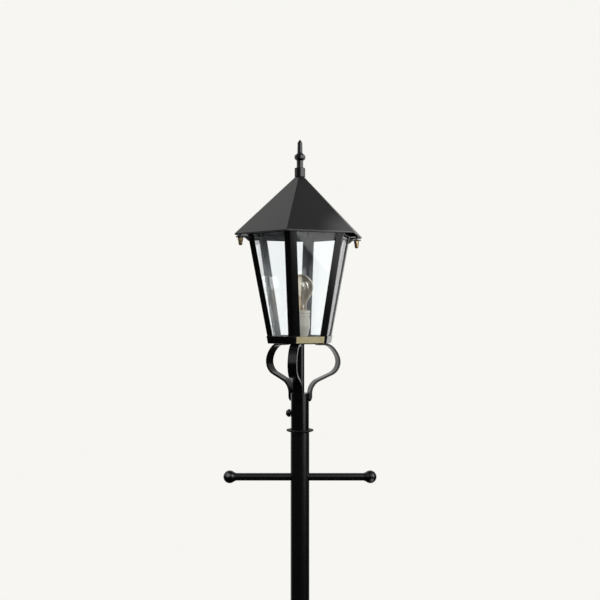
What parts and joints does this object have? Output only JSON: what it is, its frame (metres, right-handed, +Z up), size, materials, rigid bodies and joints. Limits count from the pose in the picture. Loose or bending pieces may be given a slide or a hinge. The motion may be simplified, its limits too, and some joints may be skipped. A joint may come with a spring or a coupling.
{
  "type": "post top lantern",
  "caption": "Garden lantern on a round post: glazed six-sided tapering cage, folded pyramid roof with finial, S-shaped bracket arms and a ladder bar.",
  "frame": {"origin": "on the ground under the post's axis", "axes": "+Z up along the post; X along the ladder bar; the pictured side faces -Y"},
  "size_m": [0.3446, 0.2992, 1.2499],
  "materials": {
    "post_paint": "satin",
    "collar_paint": "satin",
    "sleeve_paint": "satin",
    "arm_paint": "satin",
    "cage_paint": "satin",
    "roof_paint": "satin",
    "cast_paint": "semi-gloss",
    "screw_paint": "semi-gloss",
    "zinc_steel": "zinc plated",
    "plate_brass": "brushed, dulled",
    "nut_brass": "turned",
    "contact_brass": "pressed",
    "porcelain": "glazed",
    "pane_glass": "clear",
    "bulb_glass": "clear, amber tint",
    "cap_nickel": "nickel plated",
    "stem_glass": "clear",
    "filament_wire": "plain"
  },
  "bodies": {
    "post": {"base_flange": "post_paint", "base_hub": "post_paint", "post_tube": "post_paint", "post_spigot": "zinc_steel", "ladder_bar": "post_paint", "bar_ball_left": "cast_paint", "bar_ball_right": "cast_paint"},
    "collar": {"collar_ring": "collar_paint"},
    "lantern_head": {"sleeve_tube": "sleeve_paint", "sleeve_cap": "sleeve_paint", "conduit_tube": "sleeve_paint", "conduit_locknut": "zinc_steel", "arm_screws": "zinc_steel", "arm_welds": "arm_paint", "base_tray": "cage_paint", "top_band": "cage_paint", "pane_clips": "zinc_steel", "roof_lug_left": "arm_paint", "roof_lug_right": "arm_paint", "name_plate": "plate_brass", "plate_pins": "plate_brass", "holder_bracket": "zinc_steel", "bracket_screws": "zinc_steel", "holder_nipple": "zinc_steel", "nipple_nut": "zinc_steel", "lampholder": "porcelain", "contact_shell": "contact_brass", "centre_contact": "contact_brass", "bracket_arm_front": "arm_paint", "bracket_arm_right": "arm_paint", "bracket_arm_left": "arm_paint", "corner_post_front": "cage_paint", "corner_post_right_front": "cage_paint", "corner_post_right_rear": "cage_paint", "corner_post_rear": "cage_paint", "corner_post_left_rear": "cage_paint", "corner_post_left_front": "cage_paint", "glass_pane_front_right": "pane_glass", "glass_pane_right": "pane_glass", "glass_pane_rear_right": "pane_glass", "glass_pane_rear_left": "pane_glass", "glass_pane_left": "pane_glass", "glass_pane_front_left": "pane_glass"},
    "clamp_washer": {"clamp_washer": "screw_paint"},
    "clamp_screw": {"clamp_screw": "screw_paint"},
    "roof": {"roof_shell": "roof_paint", "finial": "cast_paint", "finial_nut": "zinc_steel", "roof_studs": "zinc_steel", "stud_plates": "zinc_steel"},
    "nut_washer_left": {"nut_washer_left": "nut_brass"},
    "cap_nut_left": {"cap_nut_left": "nut_brass"},
    "nut_washer_right": {"nut_washer_right": "nut_brass"},
    "cap_nut_right": {"cap_nut_right": "nut_brass"},
    "bulb": {"bulb_glass": "bulb_glass", "bulb_cap": "cap_nickel", "bulb_stem": "stem_glass", "bulb_filament": "filament_wire"}
  },
  "joints": [
    {"name": "head_swivel", "type": "hinge", "parent": "post", "child": "collar", "pos_m": [0, 0, 0.5957], "axis": [0, 0, 1], "range_deg": [-170, 170]},
    {"name": "head_lift", "type": "slide", "parent": "collar", "child": "lantern_head", "axis": [0, 0, 1], "range_m": [0, 0.08]},
    {"name": "clamp_turn", "type": "hinge", "parent": "lantern_head", "child": "clamp_washer", "pos_m": [-0.0208, 0, 0.6349], "axis": [-1, 0, 0], "range_deg": [0, 720]},
    {"name": "clamp_run", "type": "slide", "parent": "clamp_washer", "child": "clamp_screw", "axis": [-1, 0, 0], "range_m": [0, 0.0025]},
    {"name": "roof_lift", "type": "slide", "parent": "lantern_head", "child": "roof", "axis": [0, 0, 1], "range_m": [0, 0.12]},
    {"name": "nut_left_turn", "type": "hinge", "parent": "lantern_head", "child": "nut_washer_left", "pos_m": [-0.13049, -0.04672, 1.0256], "axis": [0, 0, -1], "range_deg": [0, 3600]},
    {"name": "nut_left_run", "type": "slide", "parent": "nut_washer_left", "child": "cap_nut_left", "axis": [0, 0, -1], "range_m": [0, 0.01]},
    {"name": "nut_right_turn", "type": "hinge", "parent": "lantern_head", "child": "nut_washer_right", "pos_m": [0.13049, 0.04672, 1.0256], "axis": [0, 0, -1], "range_deg": [0, 3600]},
    {"name": "nut_right_run", "type": "slide", "parent": "nut_washer_right", "child": "cap_nut_right", "axis": [0, 0, -1], "range_m": [0, 0.01]},
    {"name": "bulb_out", "type": "slide", "parent": "lantern_head", "child": "bulb", "axis": [0, 0, 1], "range_m": [0, 0.03]}
  ],
  "couplings": [
    {"joint": "clamp_turn", "follows": "clamp_run", "rad_per_m": 5026.5},
    {"joint": "nut_left_turn", "follows": "nut_left_run", "rad_per_m": 6283},
    {"joint": "nut_right_turn", "follows": "nut_right_run", "rad_per_m": 6283}
  ]
}
